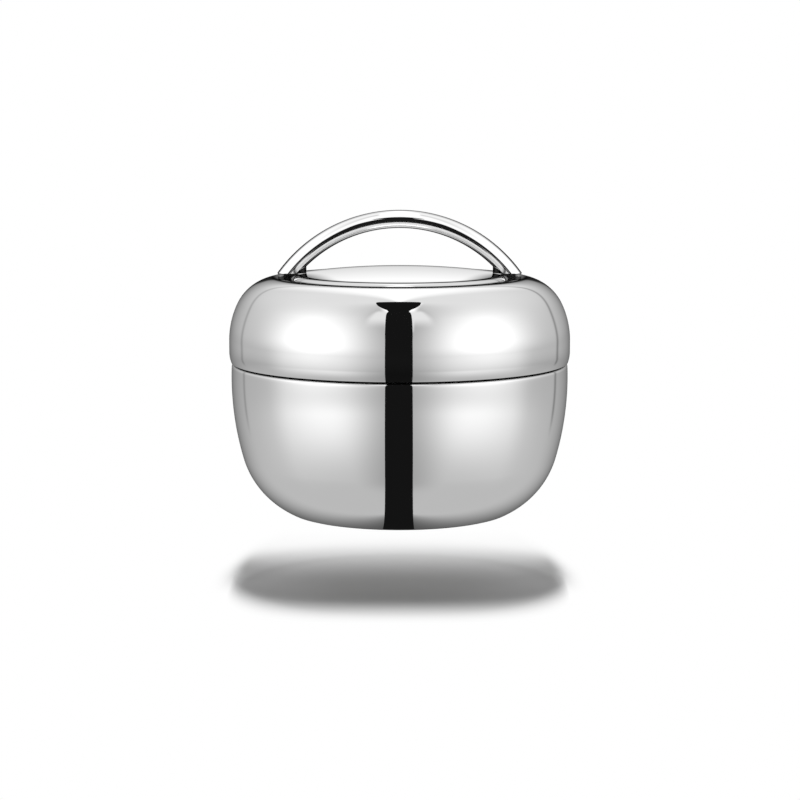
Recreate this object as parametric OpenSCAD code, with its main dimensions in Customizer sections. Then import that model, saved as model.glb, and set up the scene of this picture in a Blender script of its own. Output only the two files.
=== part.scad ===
// Insulated food container: a round double-wall steel pot with a twist-lock lid and an arched handle.
// Millimetres, +Z up, origin on the table under the pot's axis. The handle runs along X.

/* [Pot body] */
// Widest diameter of the pot
body_d = 168; // [150:1:190]
// Height of the shelf that the lid stands over
seam_z = 75; // [68:0.5:84]
// Height of the pot's widest place
body_widest_z = 67.5; // [60:0.5:70]
// Radius of the long arc down the side
side_arc_r = 145; // [120:1:180]
// Sweep of the side arc below the widest place, in degrees
side_arc_deg = 16; // [12:0.5:20]
// How far the circle of the full lower corner would reach below the table
corner_drop = 3.76; // [2.5:0.02:5]
// Sheet thickness of both polished shells
shell_t = 0.8; // [0.6:0.1:1.1]
// Radius of the edge between side and shelf
shelf_round_r = 1.5; // [1.2:0.1:2.5]
// Height of the steel underside above the table
base_lift = 0.5; // [0.3:0.1:0.9]

/* [Foot and base] */
// Width of the silicone foot ring
foot_w = 5.6; // [4:0.1:7]
// Thickness of the foot ring
foot_t = 1.2; // [1:0.1:2]
// Width of the steel lip round the foot ring
foot_lip_w = 1.2; // [0.8:0.1:2]
// Width of the flange inside the foot ring, which carries the base plate
flange_w = 1.4; // [1:0.1:3]
// Sheet thickness of the base plate and its cap
base_t = 0.8; // [0.6:0.1:1]
// Height of the dish in the middle of the base plate
dish_h = 1.6; // [1.2:0.1:2]
// Width of the flat rim of the base plate inside the flange
dish_rim_w = 3; // [2:0.5:6]
// Width of the sloping wall of the dish
dish_slope_w = 3; // [2:0.5:6]
// Diameter of the pump-out hole
pump_hole_d = 3; // [2:0.1:4]
// Diameter of the plug's head
plug_head_d = 9; // [7:0.5:14]
// Thickness of the plug's head
plug_head_t = 0.8; // [0.5:0.1:1]
// Diameter of the getter pellet
getter_d = 10; // [6:0.5:14]
// Height of the getter pellet
getter_h = 2.2; // [1.5:0.1:2.6]
// Distance of the getter pellet from the axis
getter_x = 18; // [14:1:26]

/* [Liner and neck] */
// Width of the shelf, from the pot's widest radius to the neck
shelf_w = 8; // [7.6:0.1:10]
// Height of the neck above the shelf
neck_h = 13; // [12.6:0.1:16]
// Vacuum gap between neck and liner
neck_gap = 2.9; // [2:0.1:4]
// Sheet thickness of the liner
liner_t = 0.6; // [0.5:0.1:0.8]
// Outer radius of the liner's lower corner
liner_corner_r = 34; // [26:0.5:38]
// Height of the liner's underside
liner_floor_z = 8; // [7.7:0.1:12]
// Thickness of the reflecting foil
foil_t = 0.2; // [0.1:0.05:0.4]

/* [Bayonet] */
// Number of lugs on collar and ring
lug_count = 4; // [3:1:4]
// Thickness of the collar's wall
collar_t = 2; // [1.6:0.1:2.4]
// Height of the collar
collar_h = 11.5; // [11:0.1:12.4]
// Reach of the collar's lugs beyond its wall
lug_reach = 2.1; // [1.6:0.1:2.4]
// Height of every lug
lug_h = 2.8; // [2.2:0.1:3.2]
// Height of the collar lugs' underside above the shelf
collar_lug_z = 6; // [5.6:0.1:6.4]
// Sweep of one collar lug, in degrees
collar_lug_deg = 36; // [30:1:38]
// Sweep of one lug of the lid, in degrees
ring_lug_deg = 34; // [26:1:34]
// Sweep of the stop at the end of a collar lug, in degrees
stop_deg = 3; // [2:0.5:4]
// Free turn between a lid lug and a stop, in degrees
stop_play_deg = 1; // [0.5:0.5:2]
// Length of the sloping lead-in under a collar lug
ramp_len = 12; // [8:1:16]
// Rise of the lead-in over that length
ramp_rise = 1; // [0.6:0.1:1.4]
// Thickness of the lock ring's top flange
lock_flange_t = 2; // [1.6:0.1:2.4]

/* [Seal] */
// Width of the lid seal
seal_w = 5.5; // [4:0.1:5.8]
// Thickness of the lid seal
seal_t = 2.2; // [1.8:0.1:3]
// Depth of the lip on the underside of the seal
seal_lip = 0.6; // [0.4:0.1:1]

/* [Lid] */
// Overhang of the lid beyond the pot
lid_overhang = 1; // [0.6:0.1:2]
// Height of the black gap between lid and pot
seam_gap = 0.8; // [0.6:0.1:1.2]
// Height over which the lid tucks in above its lower edge
tuck_h = 5.2; // [4:0.1:7]
// Radius of the tuck
tuck_r = 15; // [12:0.5:24]
// Height of the crest above the shelf
lid_rise = 43; // [41:0.5:48]
// Radius of the lower shoulder arc
shoulder_low_r = 42; // [36:0.5:48]
// Sweep of the lower shoulder arc, in degrees
shoulder_low_deg = 26; // [20:1:32]
// Radius of the upper shoulder arc
shoulder_top_r = 23.3; // [21:0.1:26]
// Width of the turned-in hem at the lid's lower edge
hem_w = 1.9; // [1.2:0.1:2.2]
// Distance from the lid's widest radius in to the edge of the domed crown
crown_in = 34.2; // [32:0.1:36]
// Rise of the dome from its edge to its middle
dome_sag = 3.42; // [2.8:0.02:3.8]
// Height of the dome's top above the crest
dome_rise = 4.5; // [4.2:0.1:5.5]
// Radius of the dome's rolled edge
crown_edge_r = 5; // [4:0.1:7]
// Sheet thickness of the inner shell
inner_t = 0.6; // [0.5:0.1:0.8]
// Height of the hollow under the lid
hollow_h = 12; // [8:0.5:14]
// Radius of the corner of that hollow
hollow_corner_r = 8; // [5:0.5:8]
// Depth of the rim that guides the seal
seal_guide_h = 1.5; // [1:0.1:2]

/* [Handle] */
// Diameter of the handle's round bar
bar_d = 9; // [8:0.1:10]
// How far outside the crown's edge the middle of the bar lands
landing_out = 5.85; // [4.5:0.05:7]
// Height of the handle's top above the crest
handle_rise = 33.1; // [31:0.1:36]
// Length of a foot along the handle
foot_len = 14.3; // [13:0.1:15]
// How far the middle of a foot is set in from the bar's own landing place
foot_set_in = 3.1; // [2.6:0.1:3.8]
// How far the flat sides of a foot lie inside the bar's width
foot_side_in = 1.4; // [1:0.1:1.7]
// Gap between the inner end of a foot and the crown
heel_gap = 0.1; // [0.05:0.05:0.3]
// Thickness of the black pad under a foot
pad_t = 0.5; // [0.4:0.1:0.8]
// How far the inner end of a spacer lies outside the crown's edge
seat_set_out = 0.8; // [0.6:0.1:1.4]
// Diameter of the handle screws
screw_d = 4; // [3:0.1:4.5]
// Depth of the screw in the foot
screw_grip = 4.4; // [3:0.1:4.8]
// Diameter of the screw heads
head_d = 7; // [6:0.1:9]
// Height of the screw heads
head_h = 3; // [2:0.1:4]
// Width across the hexagon socket
socket_w = 2.5; // [2:0.1:3]
// Depth of the hexagon socket
socket_depth = 1.8; // [1:0.1:2]
// Diameter of the plain washers
washer_d = 12; // [10.5:0.5:14]
// Thickness of the plain washers
washer_t = 1; // [0.8:0.1:1.6]
// Thickness of the split washers
spring_t = 1.2; // [0.8:0.1:1.6]
// Width of the split in a split washer, in degrees
split_deg = 12; // [8:1:20]

/* [Clearances] */
// Gap between pieces that are pressed or screwed together
fit_gap = 0.05; // [0.02:0.01:0.1]
// Gap round soft and moving pieces
soft_gap = 0.3; // [0.25:0.05:0.4]
// Gap between a lid lug and the collar's wall, and between a collar lug and the ring's wall
lug_side_gap = 0.6; // [0.4:0.1:0.8]
// Gap between locked lugs
lug_top_gap = 0.4; // [0.3:0.05:0.6]
// Gap between the lock ring and the lid's shell
ring_gap = 0.3; // [0.2:0.05:0.5]

/* [Hidden] */
$fn = 96;

// Steps along a long arc and along a short one
long_steps = 14;
short_steps = 8;
// Overrun of every cut
over = 1;

// Colours
polished = "gainsboro";
bright = "silver";
dark_plastic = "dimgray";
silicone = "black";

// Pot outline
body_r = body_d / 2;
side_c = [body_r - side_arc_r, body_widest_z];
corner_arc_r = (body_widest_z + corner_drop - side_arc_r * sin(side_arc_deg)) / (1 - sin(side_arc_deg));
corner_c = side_c + (side_arc_r - corner_arc_r) * [cos(side_arc_deg), -sin(side_arc_deg)];
shelf_round_z = seam_z - shelf_round_r;
shelf_round_deg = asin((shelf_round_z - body_widest_z) / (side_arc_r - shelf_round_r));
shelf_round_c = side_c + (side_arc_r - shelf_round_r) * [cos(shelf_round_deg), sin(shelf_round_deg)];
neck_r = body_r - shelf_w;
neck_top_z = seam_z + neck_h;

// Underside
base_edge_deg = asin((base_lift - corner_c[1]) / corner_arc_r);
base_edge_r = corner_c[0] + corner_arc_r * cos(base_edge_deg);
foot_out_r = base_edge_r - foot_lip_w;
foot_in_r = foot_out_r - foot_w;
flange_in_r = foot_in_r - flange_w;
flange_z = foot_t;
flange_top_z = flange_z + shell_t;
flange_top_deg = asin((flange_top_z - corner_c[1]) / (corner_arc_r - shell_t));
dish_r = flange_in_r - dish_rim_w - dish_slope_w;
dish_under_z = flange_top_z + dish_h;

// Liner
liner_r = neck_r - shell_t - neck_gap;
liner_corner_c = [liner_r - liner_corner_r, liner_floor_z + liner_corner_r];
lip_top_z = neck_top_z + liner_t;

// Bayonet
collar_in_r = neck_r + fit_gap;
collar_r = collar_in_r + collar_t;
lug_r = collar_r + lug_reach;
lug_pitch = 360 / lug_count;
lug_low_z = seam_z + collar_lug_z;
ring_lug_z = lug_low_z - lug_top_gap - lug_h;
ring_lug_start = collar_lug_deg / 2 + stop_deg + stop_play_deg;
ring_in_r = lug_r + lug_side_gap;

// Lid outline
lid_r = body_r + lid_overhang;
lid_low_z = seam_z + seam_gap;
crest_z = seam_z + lid_rise;
tuck_c = [lid_r - tuck_r, lid_low_z + tuck_h];
tuck_deg = asin(tuck_h / tuck_r);
shoulder_step = (shoulder_low_r - shoulder_top_r) * [cos(shoulder_low_deg), sin(shoulder_low_deg)];
shoulder_low_c = [lid_r - shoulder_low_r, crest_z - shoulder_top_r - shoulder_step[1]];
shoulder_top_c = shoulder_low_c + shoulder_step;
dome_top_z = crest_z + dome_rise;
crown_r = lid_r - crown_in;
dome_r = (crown_r * crown_r + dome_sag * dome_sag) / (2 * dome_sag);
dome_c = [0, dome_top_z - dome_r];
dome_edge_deg = asin(crown_r / dome_r);
crown_edge_c = [crown_r, dome_c[1] + dome_r * cos(dome_edge_deg)]
    - crown_edge_r * [sin(dome_edge_deg), cos(dome_edge_deg)];

// Inside of the lid
seal_in_r = neck_r + fit_gap - seal_w;
seal_z = lip_top_z + soft_gap;
guide_r = seal_in_r - soft_gap;
inner_flange_z = seal_z + seal_t + soft_gap;
hollow_top_z = inner_flange_z + hollow_h;
ring_low_z = lid_low_z + shell_t + fit_gap;
ring_r = tuck_c[0] + sqrt(pow(tuck_r - shell_t, 2) - pow(tuck_c[1] - ring_low_z, 2)) - ring_gap;
lock_lip_r = neck_r + fit_gap + soft_gap;

// Handle
bar_r = bar_d / 2;
foot_r = bar_r - foot_side_in;
handle_top_z = crest_z + handle_rise;
landing_x = crown_r + landing_out;
arch_rise = handle_rise - bar_r;
arch_r = (landing_x * landing_x + arch_rise * arch_rise) / (2 * arch_rise);
arch_c_z = handle_top_z - bar_r - arch_r;
foot_x = landing_x - foot_set_in;
foot_z = dome_z(foot_x - foot_len / 2) + heel_gap;
seat_top_z = foot_z - pad_t;
groove = circle_meet(crown_edge_c, crown_edge_r - shell_t, shoulder_top_c, shoulder_top_r - shell_t);
washer_z = groove[1] - fit_gap - washer_t;
spring_z = washer_z - spring_t;
screw_r = screw_d / 2;

// Height of the dome at a distance r from the axis
function dome_z(r) = dome_c[1] + sqrt(dome_r * dome_r - r * r);

// Points on an arc about c from angle a to angle b
function arc(c, r, a, b, steps) = [for (i = [0:steps]) let (t = a + (b - a) * i / steps) c + r * [cos(t), sin(t)]];

// The outer of the two points where two circles meet
function circle_meet(c1, r1, c2, r2) =
    let (d = norm(c2 - c1), u = (c2 - c1) / d, a = (r1 * r1 - r2 * r2 + d * d) / (2 * d))
    c1 + a * u + sqrt(r1 * r1 - a * a) * [-u[1], u[0]];

// Side of the pot, set in by t, from the angle low up to the shelf
function pot_side(t, low) = concat(
    arc(corner_c, corner_arc_r - t, low, -side_arc_deg, long_steps),
    arc(side_c, side_arc_r - t, -side_arc_deg, shelf_round_deg, long_steps),
    arc(shelf_round_c, shelf_round_r - t, shelf_round_deg, 90, short_steps));

// Lid from its lower edge to the middle of the crown, set in by t
function lid_skin(t) =
    let (meet = circle_meet(crown_edge_c, crown_edge_r - t, shoulder_top_c, shoulder_top_r - t),
        crest_deg = atan2(meet[1] - shoulder_top_c[1], meet[0] - shoulder_top_c[0]),
        edge_deg = atan2(meet[1] - crown_edge_c[1], meet[0] - crown_edge_c[0]))
    concat(
        arc(tuck_c, tuck_r - t, -tuck_deg, 0, short_steps),
        arc(shoulder_low_c, shoulder_low_r - t, 0, shoulder_low_deg, short_steps),
        arc(shoulder_top_c, shoulder_top_r - t, shoulder_low_deg, crest_deg, long_steps),
        arc(crown_edge_c, crown_edge_r - t, edge_deg, 90 - dome_edge_deg, short_steps),
        arc(dome_c, dome_r - t, 90 - dome_edge_deg, 90, long_steps));

// The same outline backwards
function back(points) = [for (i = [len(points) - 1:-1:0]) points[i]];

// Ring of rectangular section
module ring(r_in, r_out, z, h) {
    rotate_extrude()
        translate([r_in, z])
            square([r_out - r_in, h]);
}

// Part of such a ring, from angle a over a sweep
module ring_part(r_in, r_out, z, h, a, sweep) {
    rotate([0, 0, a])
        rotate_extrude(angle = sweep)
            translate([r_in, z])
                square([r_out - r_in, h]);
}

// Upright disc or hole
module disc(d, z, h) {
    translate([0, 0, z])
        cylinder(d = d, h = h);
}

// One copy at each foot of the handle
module at_feet() {
    for (side = [0, 180])
        rotate([0, 0, side])
            translate([foot_x, 0, 0])
                children();
}

// Outline of a foot: straight sides and round ends
module foot_outline() {
    half = foot_len / 2 - foot_r;
    for (x = [-half, half])
        translate([x, 0])
            circle(r = foot_r);
    square([2 * half, 2 * foot_r], center = true);
}

// Solid of the lid, set in by t
module lid_solid(t) {
    rotate_extrude()
        polygon(concat([[0, lid_low_z]], lid_skin(t)));
}

// Polished bowl with foot groove, shelf and neck
module outer_shell() {
    color(polished)
        rotate_extrude()
            polygon(concat(
                [[flange_in_r, flange_z], [foot_out_r, flange_z], [foot_out_r, base_lift]],
                pot_side(0, base_edge_deg),
                [[neck_r, seam_z], [neck_r, neck_top_z],
                    [neck_r - shell_t, neck_top_z], [neck_r - shell_t, seam_z - shell_t]],
                back(pot_side(shell_t, flange_top_deg)),
                [[flange_in_r, flange_top_z]]));
}

// Deep-drawn inner pot; its lip lies on the neck and closes the vacuum
module inner_liner() {
    color(bright)
        rotate_extrude()
            polygon(concat(
                [[0, liner_floor_z]],
                arc(liner_corner_c, liner_corner_r, -90, 0, long_steps),
                [[liner_r, neck_top_z], [neck_r, neck_top_z]],
                arc([neck_r - liner_t, neck_top_z], liner_t, 0, 90, short_steps),
                arc([liner_r, neck_top_z], liner_t, 90, 180, short_steps),
                back(arc(liner_corner_c, liner_corner_r - liner_t, -90, 0, long_steps)),
                [[0, liner_floor_z + liner_t]]));
}

// Dished bottom disc, welded on the bowl's flange, with the pump-out hole
module base_plate() {
    rim_in_r = flange_in_r - dish_rim_w;
    color(bright)
        rotate_extrude()
            polygon([[pump_hole_d / 2, dish_under_z], [dish_r, dish_under_z], [rim_in_r, flange_top_z],
                [foot_out_r, flange_top_z], [foot_out_r, flange_top_z + base_t],
                [rim_in_r, flange_top_z + base_t], [dish_r, dish_under_z + base_t],
                [pump_hole_d / 2, dish_under_z + base_t]]);
}

// Cover under the dish, level with the flange
module base_cap() {
    color(bright)
        disc(2 * (flange_in_r - soft_gap), flange_top_z - base_t, base_t);
}

// Plug in the pump-out hole
module evacuation_seal() {
    color(bright) {
        disc(plug_head_d, dish_under_z - plug_head_t, plug_head_t);
        disc(pump_hole_d - 2 * fit_gap, dish_under_z - plug_head_t, plug_head_t + base_t);
    }
}

// Pellet on the base plate that keeps the vacuum
module getter() {
    color(dark_plastic)
        translate([getter_x, 0, 0])
            disc(getter_d, dish_under_z + base_t, getter_h);
}

// Reflecting foil round the straight part of the liner
module heat_foil() {
    color("peru")
        ring(liner_r + fit_gap, liner_r + fit_gap + foil_t, liner_corner_c[1],
            seam_z - shell_t - liner_corner_c[1]);
}

// Silicone ring that the pot stands on, with rounded lower edges
module foot_ring() {
    color(silicone)
        rotate_extrude()
            polygon(concat(
                [[foot_in_r + fit_gap, foot_t]],
                arc([foot_in_r + fit_gap + base_lift, base_lift], base_lift, 180, 270, short_steps),
                arc([foot_out_r - fit_gap - base_lift, base_lift], base_lift, 270, 360, short_steps),
                [[foot_out_r - fit_gap, foot_t]]));
}

// Collar lug with its sloping lead-in and the stop behind it
module collar_lug() {
    half = collar_lug_deg / 2;
    stop_low_z = seam_z + lug_top_gap;
    root_r = collar_r - collar_t / 2;
    difference() {
        ring_part(root_r, lug_r, lug_low_z, lug_h, -half, collar_lug_deg);
        rotate([0, 0, -half])
            translate([root_r, ramp_len, lug_low_z])
                rotate([-atan(ramp_rise / ramp_len), 0, 0])
                    translate([-over, -2 * ramp_len, -lug_h])
                        cube([lug_r - root_r + 2 * over, 2 * ramp_len + over, lug_h]);
    }
    ring_part(root_r, lug_r, stop_low_z, lug_low_z + lug_h - stop_low_z, half, stop_deg);
}

// Moulded collar pressed over the neck
module neck_collar() {
    color(dark_plastic)
        union() {
            ring(collar_in_r, collar_r, seam_z, collar_h);
            for (i = [0:lug_count - 1])
                rotate([0, 0, i * lug_pitch])
                    collar_lug();
        }
}

// Seal on the liner's lip, with a soft lip pointing down inside it
module lid_seal() {
    seal_r = seal_in_r + seal_w;
    color(silicone)
        rotate_extrude()
            polygon([[seal_in_r, seal_z + seal_lip], [seal_in_r + seal_lip, seal_z],
                [seal_r - seal_lip, seal_z], [seal_r, seal_z + seal_lip],
                [seal_r, seal_z + seal_t], [seal_in_r, seal_z + seal_t]]);
}

// Polished lid shell with its turned-in hem, pierced for the handle screws
module lid_outer_shell() {
    hem_r = tuck_c[0] + tuck_r * cos(tuck_deg) - hem_w;
    inner_tuck_deg = asin((tuck_h - shell_t) / (tuck_r - shell_t));
    inner_skin = [for (p = lid_skin(shell_t)) if (p[1] > lid_low_z + shell_t) p];
    tuck_end = tuck_c + (tuck_r - shell_t) * [cos(inner_tuck_deg), -sin(inner_tuck_deg)];
    color(polished)
        difference() {
            rotate_extrude()
                polygon(concat([[hem_r, lid_low_z]], lid_skin(0), back(inner_skin),
                    [tuck_end, [hem_r, lid_low_z + shell_t]]));
            at_feet()
                disc(screw_d + 2 * soft_gap, shoulder_top_c[1], dome_top_z - shoulder_top_c[1]);
        }
}

// Inner dish: guide rim for the seal, flange on the lock ring, and the hollow's wall and ceiling
module lid_inner_shell() {
    wall_r = guide_r;
    ceiling_c = [wall_r - hollow_corner_r, hollow_top_z - hollow_corner_r];
    color(bright)
        rotate_extrude()
            polygon(concat(
                [[wall_r - inner_t, inner_flange_z - seal_guide_h], [wall_r, inner_flange_z - seal_guide_h],
                    [wall_r, inner_flange_z], [ring_r - fit_gap, inner_flange_z],
                    [ring_r - fit_gap, inner_flange_z + inner_t], [wall_r, inner_flange_z + inner_t]],
                arc(ceiling_c, hollow_corner_r, 0, 90, short_steps),
                [[0, hollow_top_z], [0, hollow_top_z - inner_t]],
                back(arc(ceiling_c, hollow_corner_r - inner_t, 0, 90, short_steps))));
}

// Foam between the shells, with pockets for the screw ends
module lid_insulation() {
    low_z = inner_flange_z + inner_t + soft_gap;
    wall_r = guide_r + soft_gap;
    foam_corner_c = [guide_r - hollow_corner_r, hollow_top_z - hollow_corner_r];
    pocket_d = washer_d + 2 * soft_gap;
    pocket_z = spring_z - head_h - soft_gap;
    color("khaki")
        difference() {
            intersection() {
                lid_solid(shell_t + soft_gap);
                disc(2 * lid_r, low_z, dome_top_z - low_z);
            }
            rotate_extrude()
                polygon(concat([[0, low_z - over], [wall_r, low_z - over]],
                    arc(foam_corner_c, hollow_corner_r + soft_gap, 0, 90, short_steps),
                    [[0, hollow_top_z + soft_gap]]));
            at_feet()
                disc(pocket_d, pocket_z, dome_top_z - pocket_z);
        }
}

// Moulded ring in the lid: wall, top flange and the lugs that turn under the collar's
module lock_ring() {
    color(dark_plastic)
        union() {
            ring(ring_in_r, ring_r, ring_low_z, inner_flange_z - ring_low_z);
            ring(lock_lip_r, ring_r, inner_flange_z - lock_flange_t, lock_flange_t);
            for (i = [0:lug_count - 1])
                ring_part(collar_r + lug_side_gap, ring_r, ring_lug_z, lug_h,
                    i * lug_pitch + ring_lug_start, ring_lug_deg);
        }
}

// Round bar bent to an arch, with levelled feet bored for the screws
module handle() {
    bar_deg = asin((crest_z - bar_r - arch_c_z) / arch_r);
    color(polished)
        difference() {
            union() {
                translate([0, 0, arch_c_z])
                    rotate([90, 0, 0])
                        rotate([0, 0, bar_deg])
                            rotate_extrude(angle = 180 - 2 * bar_deg)
                                translate([arch_r, 0])
                                    circle(r = bar_r);
                intersection() {
                    at_feet()
                        translate([0, 0, foot_z - over])
                            linear_extrude(height = handle_top_z - foot_z)
                                foot_outline();
                    translate([0, bar_d, arch_c_z])
                        rotate([90, 0, 0])
                            cylinder(r = arch_r, h = 2 * bar_d);
                }
            }
            disc(2 * (arch_r + bar_d), arch_c_z, foot_z - arch_c_z);
            at_feet()
                disc(screw_d + 2 * fit_gap, foot_z - over, over + screw_grip + soft_gap);
        }
}

// Steel spacers that level the feet on the curved crown
module handle_seats() {
    color(polished)
        difference() {
            at_feet()
                translate([0, 0, shoulder_top_c[1]])
                    linear_extrude(height = seat_top_z - shoulder_top_c[1])
                        foot_outline();
            lid_solid(-fit_gap);
            disc(2 * (crown_r + seat_set_out), shoulder_top_c[1] - over, dome_top_z - shoulder_top_c[1] + over);
            at_feet()
                disc(screw_d + 2 * soft_gap, shoulder_top_c[1] - over, dome_top_z - shoulder_top_c[1] + over);
        }
}

// Black pads between spacers and feet
module handle_pads() {
    color(silicone)
        difference() {
            at_feet()
                translate([0, 0, seat_top_z + fit_gap])
                    linear_extrude(height = pad_t - 2 * fit_gap)
                        difference() {
                            foot_outline();
                            circle(r = screw_r + soft_gap);
                        }
            lid_solid(-fit_gap);
            disc(2 * crown_r, seat_top_z - over, pad_t + 2 * over);
        }
}

// Plain washers under the crown
module handle_washers() {
    color(bright)
        at_feet()
            difference() {
                disc(washer_d, washer_z, washer_t);
                disc(screw_d + 2 * soft_gap, washer_z - over, washer_t + 2 * over);
            }
}

// Split washers on the screw heads
module handle_spring_washers() {
    color(dark_plastic)
        at_feet()
            ring_part(screw_r + soft_gap, head_d / 2, spring_z, spring_t, split_deg / 2, 360 - split_deg);
}

// Screws from inside the lid into the feet
module handle_screws() {
    color(bright)
        at_feet()
            difference() {
                union() {
                    disc(head_d, spring_z - head_h, head_h);
                    disc(screw_d, spring_z - head_h, foot_z + screw_grip - spring_z + head_h);
                }
                translate([0, 0, spring_z - head_h - over])
                    cylinder(d = socket_w / cos(30), h = socket_depth + over, $fn = 6);
            }
}

outer_shell();
inner_liner();
base_plate();
base_cap();
evacuation_seal();
getter();
heat_foil();
foot_ring();
neck_collar();
lid_seal();
lid_outer_shell();
lid_inner_shell();
lid_insulation();
lock_ring();
handle();
handle_seats();
handle_pads();
handle_washers();
handle_spring_washers();
handle_screws();
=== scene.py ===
# Insulated food container: mirror-polished steel shells, arched handle, moulded bayonet and silicone rings.
# Metres, in the frame of the solids: +Z up, the handle along X, the photographed side towards -Y.
import math
import bmesh
import bpy
import numpy as np
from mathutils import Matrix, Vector


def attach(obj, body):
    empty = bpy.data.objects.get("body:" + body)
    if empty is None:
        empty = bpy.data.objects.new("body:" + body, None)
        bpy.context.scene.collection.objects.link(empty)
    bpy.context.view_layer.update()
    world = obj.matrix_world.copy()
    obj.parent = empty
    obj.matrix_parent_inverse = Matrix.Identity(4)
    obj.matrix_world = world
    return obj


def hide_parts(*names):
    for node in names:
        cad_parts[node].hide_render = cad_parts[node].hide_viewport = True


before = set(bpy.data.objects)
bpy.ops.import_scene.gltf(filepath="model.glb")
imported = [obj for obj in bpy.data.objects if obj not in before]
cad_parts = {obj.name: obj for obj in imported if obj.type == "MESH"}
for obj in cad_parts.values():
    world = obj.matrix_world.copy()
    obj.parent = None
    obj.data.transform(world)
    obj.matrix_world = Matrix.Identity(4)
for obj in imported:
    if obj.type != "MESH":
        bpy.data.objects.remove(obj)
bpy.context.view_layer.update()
scene = bpy.context.scene
MM = 0.001

# Camera

eye_height = 210.8 * MM
eye_distance = 1114 * MM
eye_side = 0.2 * MM
look_down = math.radians(7.92)

camera_data = bpy.data.cameras.new("photo_camera")
camera_data.sensor_width = 36
camera_data.lens = 100.8
camera_data.clip_start = 0.05
camera_data.clip_end = 60
camera = bpy.data.objects.new("photo_camera", camera_data)
camera.location = (eye_side, -eye_distance, eye_height)
camera.rotation_euler = (math.pi / 2 - look_down, 0, 0)
scene.collection.objects.link(camera)
scene.camera = camera
scene.view_settings.view_transform = "Standard"


# Sums of node values

class Varying:
    """A value that changes from place to place, made of math nodes in one node tree."""

    def __init__(self, tree, socket):
        self.tree = tree
        self.socket = socket

    def calc(self, operation, *others):
        """The value that a Math node makes of this one and the others."""
        node = self.tree.nodes.new("ShaderNodeMath")
        node.operation = operation
        for slot, value in zip(node.inputs, (self,) + others):
            if isinstance(value, Varying):
                self.tree.links.new(value.socket, slot)
            else:
                slot.default_value = value
        return Varying(self.tree, node.outputs[0])

    def __add__(self, other):
        return self.calc("ADD", other)

    def __sub__(self, other):
        return self.calc("SUBTRACT", other)

    def __mul__(self, other):
        return self.calc("MULTIPLY", other)

    def absolute(self):
        return self.calc("ABSOLUTE")

    def rest(self):
        """What is missing from one."""
        return self.calc("MULTIPLY", -1.0).calc("ADD", 1.0)

    def rises(self, start, end):
        """0 below start and 1 above end, with a soft step between."""
        node = self.tree.nodes.new("ShaderNodeMapRange")
        node.interpolation_type = "SMOOTHSTEP"
        node.inputs["From Min"].default_value = start
        node.inputs["From Max"].default_value = end
        self.tree.links.new(self.socket, node.inputs["Value"])
        return Varying(self.tree, node.outputs["Result"])

    def bell(self, centre, below, above):
        """1 at the centre, falling off softly over one width below it and another above."""
        away = self - centre
        under = away.calc("MINIMUM", 0.0) * (1 / below)
        over = away.calc("MAXIMUM", 0.0) * (1 / above)
        squares = under * under + over * over
        return (squares * -0.5).calc("EXPONENT")


def coordinates(tree, place):
    """The three numbers of a vector socket, as varying values."""
    parts = tree.nodes.new("ShaderNodeSeparateXYZ")
    tree.links.new(place, parts.inputs[0])
    return [Varying(tree, parts.outputs[i]) for i in range(3)]


def mixed_shader(tree, amount, first, second):
    """The output of a Mix Shader node between two shader sockets, by an amount socket."""
    mixed = tree.nodes.new("ShaderNodeMixShader")
    tree.links.new(amount, mixed.inputs["Fac"])
    tree.links.new(first, mixed.inputs[1])
    tree.links.new(second, mixed.inputs[2])
    return mixed.outputs[0]


# Studio: what the polished steel mirrors

# Reflectance of the polished steel, so that a studio level is the brightness seen on it
steel_tone = 0.74
# Light that reaches dull surfaces from all sides
fill_level = 0.3


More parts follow.
